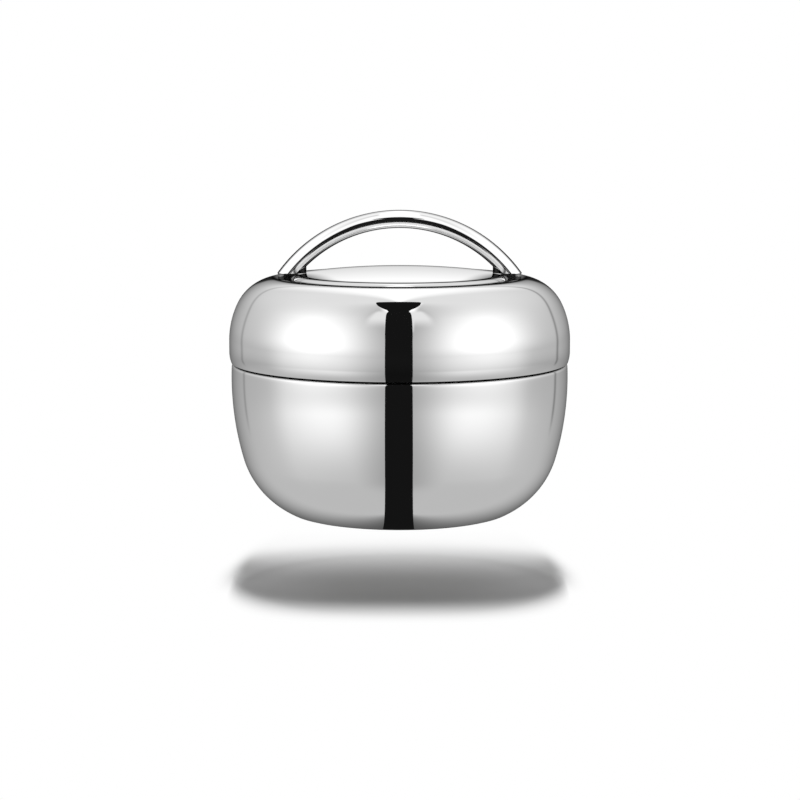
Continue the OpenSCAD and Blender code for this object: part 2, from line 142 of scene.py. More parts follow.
def studio_level(tree):
    """How bright the studio is in each direction. It is the same on both sides but for one dark edge."""
    x, y, z = coordinates(tree, tree.nodes.new("ShaderNodeTexCoord").outputs["Generated"])
    # Degrees round from the front, and degrees above the horizon
    turn = x.absolute().calc("ARCTAN2", y * -1.0) * math.degrees(1)
    rise = z.calc("ARCSINE") * math.degrees(1)

    # Walls of the tent, lighter towards the top and behind, and darker in front
    side_walls = turn.rises(10, 108) * rise.rises(0, 57)
    high_back = turn.rises(153, 175) * rise.rises(15, 33)
    front = turn.rises(5, 40).rest()
    low_front = turn.rises(10, 40).rest() * rise.rises(-60, -38).rest()
    level = side_walls * 0.25 + 0.487 + high_back * 0.31 - front * 0.143 + low_front * 0.1

    # Two soft boxes on each side, one above the other
    upper_box = turn.bell(61, 26, 23.4) * rise.bell(8.7, 10.4, 24.9)
    lower_box = turn.bell(49, 21, 34) * rise.bell(-15, 11, 4.5)
    level = level + upper_box * 0.8 + lower_box * 0.41

    # Darker down behind the object, with a belt at the side and a gap round a pale panel at the back
    low_back = turn.rises(122, 196) * rise.rises(0, 29).rest()
    belt = turn.rises(80, 102) * rise.bell(-6, 16.5, 3.4)
    gap_sides = turn.rises(168, 172.5) * turn.rises(175.3, 176.3).rest()
    gap = gap_sides * rise.rises(-16, -10) * rise.rises(7, 10.5).rest()
    back_panel = turn.rises(175.6, 176.8) * rise.rises(-3, 4) * rise.rises(17, 26).rest()
    level = level * low_back.rest() * (belt * 0.17).rest() * (gap * 0.9).rest() + back_panel * 0.52

    # Thin dark edge of the tent's back, rounded at its upper corners and stronger on the right
    edge_aside, edge_up, roundness = 48.3, 27.0, 2.5
    across = (turn * (-1 / edge_aside) + 180 / edge_aside).calc("MAXIMUM", 0.0).calc("POWER", roundness)
    up = (rise * (1 / edge_up)).calc("MAXIMUM", 0.0).calc("POWER", roundness)
    edge = (across + up).bell(1.0, 0.07, 0.07) * rise.rises(-17, -11)
    on_the_right = x.rises(-0.01, 0.01)
    level = level * (edge * (on_the_right * 0.17 + 0.3)).rest()

    # Bright over the slot that the camera looks through
    in_front = y.rises(-0.02, 0.02).rest()
    over_slot = x.absolute().rises(0.1, 0.17).rest() * rise.rises(26, 32) * in_front
    return level + over_slot * 0.8


def studio_world():
    """White behind the object for the camera, and a soft grey studio for the steel."""
    world = bpy.data.worlds.new("studio")
    scene.world = world
    world.use_nodes = True
    tree = world.node_tree
    tree.nodes.clear()
    level = studio_level(tree)
    studio = tree.nodes.new("ShaderNodeEmission")
    studio.inputs["Strength"].default_value = 1 / steel_tone
    tree.links.new(level.socket, studio.inputs["Color"])
    backdrop = tree.nodes.new("ShaderNodeEmission")
    backdrop.inputs["Color"].default_value = (1, 1, 1, 1)
    fill = tree.nodes.new("ShaderNodeEmission")
    fill.inputs["Color"].default_value = (1, 1, 1, 1)
    fill.inputs["Strength"].default_value = fill_level

    path = tree.nodes.new("ShaderNodeLightPath")
    through_clear = Varying(tree, path.outputs["Is Transmission Ray"])
    seen = Varying(tree, path.outputs["Is Camera Ray"]).calc("MAXIMUM", through_clear)
    lit = mixed_shader(tree, path.outputs["Is Glossy Ray"], fill.outputs[0], studio.outputs[0])
    both = mixed_shader(tree, seen.socket, lit, backdrop.outputs[0])
    tree.links.new(both, tree.nodes.new("ShaderNodeOutputWorld").inputs["Surface"])


studio_world()


# Materials

def new_material(name, color, metallic, roughness):
    """A material with one Principled shader, and that shader."""
    material = bpy.data.materials.new(name)
    material.use_nodes = True
    shader = material.node_tree.nodes["Principled BSDF"]
    shader.inputs["Base Color"].default_value = (*color, 1)
    shader.inputs["Metallic"].default_value = metallic
    shader.inputs["Roughness"].default_value = roughness
    return material, shader


def new_group(name, numbers, outputs):
    """An empty shader group with named number inputs and outputs, and its two end nodes."""
    group = bpy.data.node_groups.new(name, "ShaderNodeTree")
    for label, value in numbers.items():
        socket = group.interface.new_socket(name=label, in_out="INPUT", socket_type="NodeSocketFloat")
        socket.default_value = value
    for label in outputs:
        group.interface.new_socket(name=label, in_out="OUTPUT", socket_type="NodeSocketFloat")
    start = group.nodes.new("NodeGroupInput")
    end = group.nodes.new("NodeGroupOutput")
    return group, start, end


def noise(tree, place, scale, detail, rough):
    """A noise pattern at a place socket, as a varying value."""
    node = tree.nodes.new("ShaderNodeTexNoise")
    node.inputs["Scale"].default_value = scale
    node.inputs["Detail"].default_value = detail
    node.inputs["Roughness"].default_value = rough
    tree.links.new(place, node.inputs["Vector"])
    return Varying(tree, node.outputs["Fac"])


def object_place(tree):
    return tree.nodes.new("ShaderNodeTexCoord").outputs["Object"]


def spun_lines_group():
    """Fine lines left by turning and polishing: rings round the axis, on walls and floors alike."""
    group, start, end = new_group("spun_lines", {"Spacing": 0.25 * MM, "Depth": 1.0}, ["Lines", "Haze"])
    place = object_place(group)
    x, y, z = coordinates(group, place)
    radius = (x * x + y * y).calc("SQRT")
    spacing = Varying(group, start.outputs["Spacing"])
    depth = Varying(group, start.outputs["Depth"])
    ring = (radius + z).calc("DIVIDE", spacing)
    line = group.nodes.new("ShaderNodeCombineXYZ")
    group.links.new(ring.socket, line.inputs[0])
    group.links.new(((radius - z) * 40.0).socket, line.inputs[1])
    fine = noise(group, line.outputs[0], 1.0, 3.0, 0.6)
    group.links.new(((fine - 0.5) * depth).socket, end.inputs["Lines"])
    haze = noise(group, place, 22.0, 3.0, 0.55)
    group.links.new(haze.socket, end.inputs["Haze"])
    return group


def moulded_grain_group():
    """The fine spark-eroded grain of a mould, with slow changes of tone from the flow of the melt."""
    group, start, end = new_group("moulded_grain", {"Grain": 2600.0, "Flow": 45.0}, ["Height", "Tone"])
    place = object_place(group)
    grain = group.nodes.new("ShaderNodeTexNoise")
    grain.inputs["Detail"].default_value = 1.5
    group.links.new(place, grain.inputs["Vector"])
    group.links.new(start.outputs["Grain"], grain.inputs["Scale"])
    flow = group.nodes.new("ShaderNodeTexNoise")
    flow.inputs["Detail"].default_value = 2.0
    group.links.new(place, flow.inputs["Vector"])
    group.links.new(start.outputs["Flow"], flow.inputs["Scale"])
    group.links.new(grain.outputs["Fac"], end.inputs["Height"])
    group.links.new(flow.outputs["Fac"], end.inputs["Tone"])
    return group


spun_lines = spun_lines_group()
moulded_grain = moulded_grain_group()
# A noise pattern seldom leaves this span
noise_low, noise_high = 0.3, 0.7


def use_group(material, group, **values):
    node = material.node_tree.nodes.new("ShaderNodeGroup")
    node.node_tree = group
    for label, value in values.items():
        node.inputs[label].default_value = value
    return node


def bump(material, height, strength, distance):
    """A Bump node on the material's shader, fed by a height socket."""
    tree = material.node_tree
    node = tree.nodes.new("ShaderNodeBump")
    node.inputs["Strength"].default_value = strength
    node.inputs["Distance"].default_value = distance
    tree.links.new(height, node.inputs["Height"])
    tree.links.new(node.outputs["Normal"], tree.nodes["Principled BSDF"].inputs["Normal"])


def blend_colors(material, factor, first, second):
    """Base colour between two colours, by a factor socket."""
    tree = material.node_tree
    ramp = tree.nodes.new("ShaderNodeValToRGB")
    ramp.color_ramp.elements[0].position = noise_low
    ramp.color_ramp.elements[0].color = (*first, 1)
    ramp.color_ramp.elements[1].position = noise_high
    ramp.color_ramp.elements[1].color = (*second, 1)
    tree.links.new(factor, ramp.inputs["Fac"])
    tree.links.new(ramp.outputs["Color"], tree.nodes["Principled BSDF"].inputs["Base Color"])


def steel(name, color, smooth, dull, spacing, depth, tone=0.02):
    """Steel with spun lines: smooth and dull are its least and greatest roughness."""
    material, shader = new_material(name, color, 1.0, smooth)
    tree = material.node_tree
    lines = use_group(material, spun_lines, Spacing=spacing, Depth=depth)
    span = tree.nodes.new("ShaderNodeMapRange")
    span.inputs["From Min"].default_value = noise_low
    span.inputs["From Max"].default_value = noise_high
    span.inputs["To Min"].default_value = smooth
    span.inputs["To Max"].default_value = dull
    tree.links.new(lines.outputs["Haze"], span.inputs["Value"])
    tree.links.new(span.outputs["Result"], shader.inputs["Roughness"])
    blend_colors(material, lines.outputs["Haze"], [c - tone for c in color], [c + tone for c in color])
    bump(material, lines.outputs["Lines"], 1.0, 0.01 * MM)
    return material


def moulded(name, color, lighter, roughness, grain, strength, distance):
    """A moulded plastic or rubber with its grain."""
    material, _ = new_material(name, color, 0.0, roughness)
    cells = use_group(material, moulded_grain, Grain=grain)
    blend_colors(material, cells.outputs["Tone"], color, lighter)
    bump(material, cells.outputs["Height"], strength, distance)
    return material


def gray(tone):
    return (tone, tone, tone)


def mirror_polish(name):
    return steel(name, gray(steel_tone), smooth=0.012, dull=0.03, spacing=0.6 * MM, depth=0.012, tone=0.006)


polished = mirror_polish("mirror_polished_steel")
# The lid's copy of the polished steel, which carries painted shade and painted dark reflections
lid_polish_painted_shade = mirror_polish("mirror_polished_lid_painted_shade")
bright_bar_painted_shade = steel("bright_polished_bar_painted_shade", gray(0.95),
                   smooth=0.015, dull=0.035, spacing=0.6 * MM, depth=0.012, tone=0.01)
# A black specular tint darkens the bar's reflection at grazing angles: painted dark edges
bright_bar_painted_shade.node_tree.nodes["Principled BSDF"].inputs["Specular Tint"].default_value = (0, 0, 0, 1)
# Steel made dark for the handle's seats: painted shade under the handle's feet
seat_steel_painted_shade = steel("steel_darkened_as_painted_shade", gray(0.22), smooth=0.1, dull=0.16, spacing=0.6 * MM, depth=0.1)
satin = steel("satin_spun_steel", (0.62, 0.62, 0.61), smooth=0.26, dull=0.34, spacing=1.1 * MM, depth=0.15)
plain = steel("rolled_steel", (0.55, 0.55, 0.54), smooth=0.28, dull=0.36, spacing=0.9 * MM, depth=0.2)
foil = steel("reflecting_foil", (0.82, 0.62, 0.45), smooth=0.15, dull=0.3, spacing=0.8 * MM, depth=1.0)
silicone = moulded("black_silicone", (0.012, 0.012, 0.013), (0.02, 0.02, 0.021),
                   roughness=0.5, grain=1800, strength=0.15, distance=0.03 * MM)
polypropylene = moulded("black_polypropylene", (0.014, 0.014, 0.015), (0.024, 0.024, 0.025),
                        roughness=0.38, grain=2600, strength=0.3, distance=0.04 * MM)
foam = moulded("rigid_foam", (0.72, 0.62, 0.36), (0.8, 0.71, 0.45),
               roughness=0.9, grain=900, strength=0.8, distance=0.3 * MM)
getter_alloy = moulded("getter_alloy", (0.1, 0.1, 0.11), (0.16, 0.16, 0.17),
                       roughness=0.7, grain=3000, strength=0.6, distance=0.05 * MM)


def shade(material, amount):
    """Multiplies the material's base colour by a varying amount: painted shade, or painted light where the
    amount is over one.
    """
    tree = material.node_tree
    base = tree.nodes["Principled BSDF"].inputs["Base Color"]
    color = base.links[0].from_socket
    mixed = tree.nodes.new("ShaderNodeVectorMath")
    mixed.operation = "SCALE"
    tree.links.new(color, mixed.inputs[0])
    tree.links.new(amount.socket, mixed.inputs["Scale"])
    tree.links.new(mixed.outputs[0], base)


def place_numbers(tree):
    """Radius from the axis and the three coordinates, in millimetres, as varying values."""
    x, y, z = [number * (1 / MM) for number in coordinates(tree, object_place(tree))]
    return (x * x + y * y).calc("SQRT"), x, y, z


def shade_lid(material):
    """Painted shade and painted dark reflections: dark lines in the groove where the crown is drawn in, on
    the crest near the feet and at the crown's edge, and a painted slightly darker band above the lid's
    lower edge with a painted lighter band over it.
    """
    tree = material.node_tree
    radius, x, _, z = place_numbers(tree)
    # Masks of painted shade and painted dark reflection: in the groove, on the crest near the feet and at
    # the crown's edge
    on_top = z.rises(crest_z - 6, crest_z - 4)
    near_feet = x.absolute().rises(foot_x - 11.5, foot_x + 0.5)
    groove = radius.rises(groove_r - 0.4, groove_r + 0.2)
    groove = groove * radius.rises(groove_r + 2.0, groove_r + 3.5).rest()
    crest = radius.bell(top_c[0] + 3.0, 1.0, 1.0) * near_feet
    crown_edge_painted_shade = radius.bell(crown_r + 0.4, 1.0, 0.5)
    # Painted shade: a darker band above the lid's lower edge, and a painted lighter band over it
    painted_dark_band = z.bell(lid_low + 3.5, 3.0, 1.9)
    painted_light_band = z.bell(lid_low + 10.7, 2.0, 2.0)
    level = painted_dark_band * -0.2 + painted_light_band * 0.08 + 1.0
    level = level * ((groove * 0.96 + crest * 0.75) * on_top).rest()
    shade(material, level * (crown_edge_painted_shade * on_top * 0.85).rest())
    # Painted dark reflections from a darkened specular tint, only where the steel is seen at a grazing
    # angle: the crest, and the start of the crown's round edge
    crest_top_dark_reflection = radius.rises(groove_r + 3.0, groove_r + 4.0)
    crest_top_dark_reflection = crest_top_dark_reflection * radius.rises(top_c[0] + 3.0, top_c[0] + 4.8).rest()
    edge_start_dark_reflection = radius.bell(crown_r + 0.5, 0.8, 0.6)
    tint = tree.nodes["Principled BSDF"].inputs["Specular Tint"]
    tree.links.new(((crest_top_dark_reflection + edge_start_dark_reflection * 0.9) * on_top).rest().socket, tint)


def shade_handle(material):
    """Painted shade on the heel between bar and foot, and painted dark reflections on the bar's edges and
    inside towards the feet.
    """
    tree = material.node_tree
    _, x, y, z = place_numbers(tree)
    up = z - arch_z
    out = (x * x + up * up).calc("SQRT") - arch_r
    from_middle = (out * out + y * y).calc("SQRT")
    # Painted shade on the heel, off the bar's round
    heel_painted_shade = from_middle.rises(bar_r + 0.04, bar_r + 0.25)
    low = z.rises(foot_z + 8, foot_z + 30).rest()
    lowest = z.rises(foot_z + 4, foot_z + 28).rest()
    # Painted dark reflection on the inside of the bar, stronger towards the feet
    inside = (out * (-1 / bar_r) + low * 0.14).rises(0.84, 0.98)
    # Painted dark edges where the bar is seen at a grazing angle, stronger towards the feet
    facing = Varying(tree, tree.nodes.new("ShaderNodeLayerWeight").outputs["Facing"])
    painted_dark_edge = facing.rises(0.3, 0.62)
    level = (heel_painted_shade * 0.93).rest() * (inside * (low * 0.5 + 0.3)).rest()
    shade(material, level * (painted_dark_edge * (lowest * 0.5 + 0.43)).rest())


# Making pieces

def turning_tree():
    """Geometry nodes that turn a section, a line of points in the XZ plane, round the Z axis."""
    tree = bpy.data.node_groups.new("turned_from_its_section", "GeometryNodeTree")
    sockets = tree.interface
    sockets.new_socket(name="Section", in_out="INPUT", socket_type="NodeSocketGeometry")
    sockets.new_socket(name="Steps round", in_out="INPUT", socket_type="NodeSocketInt").default_value = 256
    sockets.new_socket(name="Finish", in_out="INPUT", socket_type="NodeSocketMaterial")
    sockets.new_socket(name="Piece", in_out="OUTPUT", socket_type="NodeSocketGeometry")
    nodes = tree.nodes
    link = tree.links.new
    start = nodes.new("NodeGroupInput")
    end = nodes.new("NodeGroupOutput")
    size = nodes.new("GeometryNodeAttributeDomainSize")
    link(start.outputs["Section"], size.inputs["Geometry"])
    steps = Varying(tree, start.outputs["Steps round"])
    count = Varying(tree, size.outputs["Point Count"])
    index = Varying(tree, nodes.new("GeometryNodeInputIndex").outputs[0])
    along = index.calc("MODULO", count)
    angle = index.calc("DIVIDE", count).calc("FLOOR").calc("DIVIDE", steps) * math.tau
    grid = nodes.new("GeometryNodeMeshGrid")
    link((steps + 1).socket, grid.inputs["Vertices X"])
    link(count.socket, grid.inputs["Vertices Y"])
    place = nodes.new("GeometryNodeInputPosition")
    sample = nodes.new("GeometryNodeSampleIndex")
    sample.data_type = "FLOAT_VECTOR"
    sample.domain = "POINT"
    link(start.outputs["Section"], sample.inputs["Geometry"])
    link(place.outputs[0], sample.inputs["Value"])
    link(along.socket, sample.inputs["Index"])
    swing = nodes.new("ShaderNodeVectorRotate")
    swing.rotation_type = "Z_AXIS"
    link(sample.outputs[0], swing.inputs["Vector"])
    link(angle.socket, swing.inputs["Angle"])
    move = nodes.new("GeometryNodeSetPosition")
    link(grid.outputs["Mesh"], move.inputs["Geometry"])
    link(swing.outputs[0], move.inputs["Position"])
    weld = nodes.new("GeometryNodeMergeByDistance")
    weld.inputs["Distance"].default_value = 0.001 * MM
    link(move.outputs["Geometry"], weld.inputs["Geometry"])
    finish = nodes.new("GeometryNodeSetMaterial")
    link(weld.outputs["Geometry"], finish.inputs["Geometry"])
    link(start.outputs["Finish"], finish.inputs["Material"])
    link(finish.outputs["Geometry"], end.inputs["Piece"])
    return tree


def repeating_tree():
    """Geometry nodes that repeat one shape evenly round the Z axis."""
    tree = bpy.data.node_groups.new("repeated_round_the_axis", "GeometryNodeTree")
    sockets = tree.interface
    sockets.new_socket(name="Shape", in_out="INPUT", socket_type="NodeSocketGeometry")
    sockets.new_socket(name="Count", in_out="INPUT", socket_type="NodeSocketInt").default_value = 4
    sockets.new_socket(name="Finish", in_out="INPUT", socket_type="NodeSocketMaterial")
    sockets.new_socket(name="Shapes", in_out="OUTPUT", socket_type="NodeSocketGeometry")
    nodes = tree.nodes
    link = tree.links.new
    start = nodes.new("NodeGroupInput")
    end = nodes.new("NodeGroupOutput")
    points = nodes.new("GeometryNodePoints")
    link(start.outputs["Count"], points.inputs["Count"])
    index = Varying(tree, nodes.new("GeometryNodeInputIndex").outputs[0])
    angle = index.calc("DIVIDE", Varying(tree, start.outputs["Count"])) * math.tau
    spin = nodes.new("ShaderNodeCombineXYZ")
    link(angle.socket, spin.inputs["Z"])
    copies = nodes.new("GeometryNodeInstanceOnPoints")
    link(points.outputs[0], copies.inputs["Points"])
    link(start.outputs["Shape"], copies.inputs["Instance"])
    link(spin.outputs[0], copies.inputs["Rotation"])
    real = nodes.new("GeometryNodeRealizeInstances")
    link(copies.outputs[0], real.inputs["Geometry"])
    finish = nodes.new("GeometryNodeSetMaterial")
    link(real.outputs[0], finish.inputs["Geometry"])
    link(start.outputs["Finish"], finish.inputs["Material"])
    link(finish.outputs["Geometry"], end.inputs["Shapes"])
    return tree


turned_tree = turning_tree()
repeated_tree = repeating_tree()


def run_tree(name, mesh, tree, **values):
    """The plain mesh that a node tree makes of a mesh."""
    maker = bpy.data.objects.new(name, mesh)
    scene.collection.objects.link(maker)
    modifier = maker.modifiers.new("maker", "NODES")
    modifier.node_group = tree
    for item in tree.interface.items_tree:
        if item.in_out == "INPUT" and item.name in values:
            modifier[item.identifier] = values[item.name]
    bpy.context.view_layer.update()
    graph = bpy.context.evaluated_depsgraph_get()
    made = bpy.data.meshes.new_from_object(maker.evaluated_get(graph))
    bpy.data.objects.remove(maker)
    return made


def tidy_mesh(mesh):
    """Welds doubles, turns the faces outwards, and keeps edges sharper than the crease sharp."""
    crease = math.radians(32)
    work = bmesh.new()
    work.from_mesh(mesh)
    bmesh.ops.remove_doubles(work, verts=work.verts, dist=0.0005 * MM)
    bmesh.ops.dissolve_degenerate(work, dist=0.0001 * MM, edges=work.edges)
    bmesh.ops.recalc_face_normals(work, faces=work.faces)
    for face in work.faces:
        face.smooth = True
    for edge in work.edges:
        edge.smooth = len(edge.link_faces) == 2 and edge.calc_face_angle() < crease
    work.to_mesh(mesh)
    work.free()
    return mesh


def add_piece(name, mesh, material, body, slot, *stands_for):
    """Puts a finished mesh in the scene as a piece on its body."""
    if not mesh.materials:
        mesh.materials.append(material)
    mesh.name = name
    piece = bpy.data.objects.new(name, mesh)
    scene.collection.objects.link(piece)
    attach(piece, body)
    if stands_for:
        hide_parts(*stands_for)


def turned(name, section, material, steps):
    """A mesh turned from a section in millimetres. A section off the axis is closed to a loop."""
    points = list(section)
    if points[0][0] > 0 or points[-1][0] > 0:
        points.append(points[0])
    mesh = bpy.data.meshes.new(name)
    edges = [(i, i + 1) for i in range(len(points) - 1)]
    mesh.from_pydata([(r * MM, 0, z * MM) for r, z in points], edges, [])
    return tidy_mesh(run_tree(name, mesh, turned_tree, **{"Steps round": steps, "Finish": material}))


def arc(centre, radius, start, end, steps):
    """Points on an arc from one angle to another, in degrees."""
    turns = [math.radians(start + (end - start) * i / steps) for i in range(steps + 1)]
    return [(centre[0] + radius * math.cos(t), centre[1] + radius * math.sin(t)) for t in turns]


def circles_meet(first, r1, second, r2):
    """The outer of the two points where two circles meet."""
    dx, dz = second[0] - first[0], second[1] - first[1]
    span = math.hypot(dx, dz)
    along = (r1 * r1 - r2 * r2 + span * span) / (2 * span)
    side = math.sqrt(r1 * r1 - along * along)
    return (first[0] + (along * dx - side * dz) / span, first[1] + (along * dz + side * dx) / span)


def angle_of(point, centre):
    return math.degrees(math.atan2(point[1] - centre[1], point[0] - centre[0]))


def closed_on_axis(section):
    """The same section, started at one of its points on the axis and ended at the other."""
    last = max(i for i, p in enumerate(section) if p[0] == 0)
    return section[last:] + section[:last]


def tube_faces(work, rings):
    """Faces between rings of vertices of the same count, and over the first and last ring."""
    for near, far in zip(rings, rings[1:]):
        for k in range(len(near)):
            m = (k + 1) % len(near)
            work.faces.new((near[k], near[m], far[m], far[k]))
    work.faces.new(rings[0][::-1])
    work.faces.new(rings[-1])


def sector(r_in, r_out, low, high, start, sweep, steps):
    """A block between two radii over a sweep in degrees. low is a height or a function of the angle."""
    work = bmesh.new()
    rings = []
    for i in range(steps + 1):
        degrees = start + sweep * i / steps
        turn = math.radians(degrees)
        z_low = low(degrees) if callable(low) else low
        corners = [(r_in, z_low), (r_out, z_low), (r_out, high), (r_in, high)]
        places = [Vector((r * math.cos(turn), r * math.sin(turn), z)) * MM for r, z in corners]
        rings.append([work.verts.new(place) for place in places])
    tube_faces(work, rings)
    bmesh.ops.recalc_face_normals(work, faces=work.faces)
    bevel, sharp = 0.3 * MM, math.radians(50)
    edges = [e for e in work.edges if e.calc_face_angle() > sharp]
    bmesh.ops.bevel(work, geom=edges, offset=bevel, segments=2, profile=0.5, affect="EDGES")
    mesh = bpy.data.meshes.new("sector")
    work.to_mesh(mesh)
    work.free()
    return mesh


def joined(name, *meshes):
    """One mesh of several."""
    work = bmesh.new()
    for mesh in meshes:
        work.from_mesh(mesh)
    whole = bpy.data.meshes.new(name)
    work.to_mesh(whole)
    work.free()
    for material in meshes[0].materials:
        whole.materials.append(material)
    return whole


# Sizes of the shells and the handle, in millimetres

sheet = 0.8
thin_sheet = 0.6
seam_z = 75.0
neck_r = 76.0
neck_top = 88.0

# The pot's side, lower corner and shelf: centres, radii, and the turn at which side and corner meet
side_c, side_r = (-61.0, 67.5), 145.0
side_low_turn = -16
corner_r = 43.2
corner_c = (side_c[0] + (side_r - corner_r) * math.cos(math.radians(side_low_turn)),
            side_c[1] + (side_r - corner_r) * math.sin(math.radians(side_low_turn)))
shelf_r = 1.5
shelf_turn = math.degrees(math.asin((seam_z - shelf_r - side_c[1]) / (side_r - shelf_r)))
shelf_c = (side_c[0] + (side_r - shelf_r) * math.cos(math.radians(shelf_turn)), seam_z - shelf_r)
lip_z = 0.5
foot_in, foot_out, foot_top = 48.76, 54.36, 1.2
flange_in, flange_top = 47.36, 2.0

# The lid's tucked hem, side and top, and the turn at which side and top meet
lid_low = 75.8
crest_z = 118.0
tuck_c, tuck_r, tuck_h = (70.0, 81.0), 15.0, 5.2
low_c, low_r = (43.0, 86.5025), 42.0
shoulder_turn = 26
top_c, top_r = (59.8074, 94.7), 23.3

# The crown with its round edge, and the groove round it
groove_r = 54.0
crown_r = 50.8
dome_top, dome_r = 122.5, 379.0
dome_turn = math.degrees(math.asin(crown_r / dome_r))
edge_r = 5.0
edge_c = (crown_r - edge_r * math.sin(math.radians(dome_turn)),
          dome_top - dome_r + (dome_r - edge_r) * math.cos(math.radians(dome_turn)))
dome_c = (0.0, dome_top - dome_r)

# The handle's bar, its arch and its feet
bar_r, arch_r, arch_z = 4.5, 70.4, 76.2
foot_z, foot_x, foot_half, foot_r = 119.749, 53.55, 7.15, 3.1


# Outlines of the shells

def pot_side(inset, low, fine):
    """The pot's outline from an angle low on its corner up to the shelf, set in by the sheet."""
    return (arc(corner_c, corner_r - inset, low, side_low_turn, 3 * fine)
            + arc(side_c, side_r - inset, side_low_turn, shelf_turn, 2 * fine)[1:]
            + arc(shelf_c, shelf_r - inset, shelf_turn, 90, fine // 2)[1:])


def lid_skin(inset, fine):
    """The lid's outline from its lower edge over shoulder, crest and groove to the middle of the crown."""
    meet = circles_meet(edge_c, edge_r - inset, top_c, top_r - inset)
    hem_turn = -math.degrees(math.asin(tuck_h / tuck_r))
    return (arc(tuck_c, tuck_r - inset, hem_turn, 0, fine // 2)
            + arc(low_c, low_r - inset, 0, shoulder_turn, fine)[1:]
            + arc(top_c, top_r - inset, shoulder_turn, angle_of(meet, top_c), 3 * fine)[1:]
            + arc(edge_c, edge_r - inset, angle_of(meet, edge_c), 90 - dome_turn, fine // 2)[1:]
            + arc(dome_c, dome_r - inset, 90 - dome_turn, 90, fine)[1:-1]
            + [(0.0, dome_top - inset)])


# The pieces

def pot_bowl():
    """The polished bowl with its shelf and neck."""
    low = math.degrees(math.asin((lip_z - corner_c[1]) / corner_r))
    low_inside = math.degrees(math.asin((flange_top - corner_c[1]) / (corner_r - sheet)))
    root_r = 0.9
    bowl = ([(flange_in, foot_top), (foot_out, foot_top), (foot_out, lip_z)]
            + pot_side(0, low, 20)
            + [(neck_r + root_r, seam_z)]
            + arc((neck_r + root_r, seam_z + root_r), root_r, 270, 180, 6)
            + [(neck_r, neck_top), (neck_r - sheet, neck_top), (neck_r - sheet, seam_z - sheet)]
            + pot_side(sheet, low_inside, 8)[::-1]
            + [(flange_in, flange_top)])
    mesh = turned("pot_bowl", bowl, polished, 384)
    add_piece("pot_bowl", mesh, polished, "pot", "polished_steel", "outer_shell")


def pot_liner():
    """The deep-drawn liner with its rolled lip and a ring pressed into its floor."""
    liner_r, liner_corner, floor_z = 72.3, 34.0, 8.0
    inside_z = floor_z + thin_sheet
    step_in, step_out, slope, step_h = 27.0, 28.5, 1.5, 0.25
    corner = (liner_r - liner_corner, floor_z + liner_corner)
    section = ([(0, floor_z)]
               + arc(corner, liner_corner, -90, 0, 12)
               + [(liner_r, neck_top), (neck_r, neck_top)]
               + arc((neck_r - thin_sheet, neck_top), thin_sheet, 0, 90, 5)
               + arc((liner_r, neck_top), thin_sheet, 90, 180, 5)
               + arc(corner, liner_corner - thin_sheet, -90, 0, 24)[::-1]
               + [(step_out + slope, inside_z), (step_out, inside_z + step_h),
                  (step_in, inside_z + step_h), (step_in - slope, inside_z), (0, inside_z)])
    mesh = turned("pot_liner", section, satin, 256)
    add_piece("pot_liner", mesh, satin, "pot", "plain_steel", "inner_liner")


def base_cap():
    """The thin cover under the pot, with a shallow ring pressed into it."""
    cap_r, cap_top, cap_low, edge_z, bend_r = flange_in - 0.3, 2.0, 1.2, 1.4, 0.2
    ring_out, ring_in, slope, ring_z = 40.0, 14.8, 1.2, 1.45
    section = ([(0, cap_top), (cap_r, cap_top), (cap_r, edge_z)]
               + arc((cap_r - bend_r, edge_z), bend_r, 0, -90, 3)
               + [(ring_out, cap_low), (ring_out - slope, ring_z), (ring_in + slope, ring_z),
                  (ring_in, cap_low), (0, cap_low)])
    mesh = turned("base_cap_spun", section, plain, 192)
    add_piece("base_cap_spun", mesh, plain, "pot", "plain_steel", "base_cap")


def foot_ring():
    """The silicone ring under the pot, with three grooves in its tread."""
    gap, round_r = 0.05, 0.5
    ring_in, ring_out = foot_in + gap, foot_out - gap
    groove_spacing, groove_half, groove_floor_half, groove_h = 1.36, 0.42, 0.2, 0.3
    tread = []
    for i in (-1, 0, 1):
        middle = (foot_in + foot_out) / 2 + i * groove_spacing
        tread += [(middle - groove_half, 0), (middle - groove_floor_half, groove_h),
                  (middle + groove_floor_half, groove_h), (middle + groove_half, 0)]
    section = ([(ring_in, foot_top)]
               + arc((ring_in + round_r, round_r), round_r, 180, 270, 6)
               + tread
               + arc((ring_out - round_r, round_r), round_r, 270, 360, 6)
               + [(ring_out, foot_top)])
    mesh = turned("foot_ring_silicone", section, silicone, 192)
    add_piece("foot_ring_silicone", mesh, silicone, "pot", "silicone", "foot_ring")


def lid_shell():
    """The polished lid: hem, side, top, groove and domed crown in one skin."""
    hem_width, hem_round = 1.9, 0.3
    hem_r = tuck_c[0] + tuck_r * math.cos(math.asin(tuck_h / tuck_r)) - hem_width
    inner_turn = math.asin((tuck_h - sheet) / (tuck_r - sheet))
    inner_low = (tuck_c[0] + (tuck_r - sheet) * math.cos(inner_turn), lid_low + sheet)
    inner = [p for p in lid_skin(sheet, 8) if p[1] > lid_low + sheet]
    section = ([(hem_r, lid_low + hem_round)]
               + arc((hem_r + hem_round, lid_low + hem_round), hem_round, 180, 270, 4)
               + lid_skin(0, 20)
               + inner[::-1]
               + [inner_low, (hem_r, lid_low + sheet)])
    mesh = turned("lid_shell", section, lid_polish_painted_shade, 384)
    add_piece("lid_shell", mesh, lid_polish_painted_shade, "lid", "polished_steel", "lid_outer_shell")


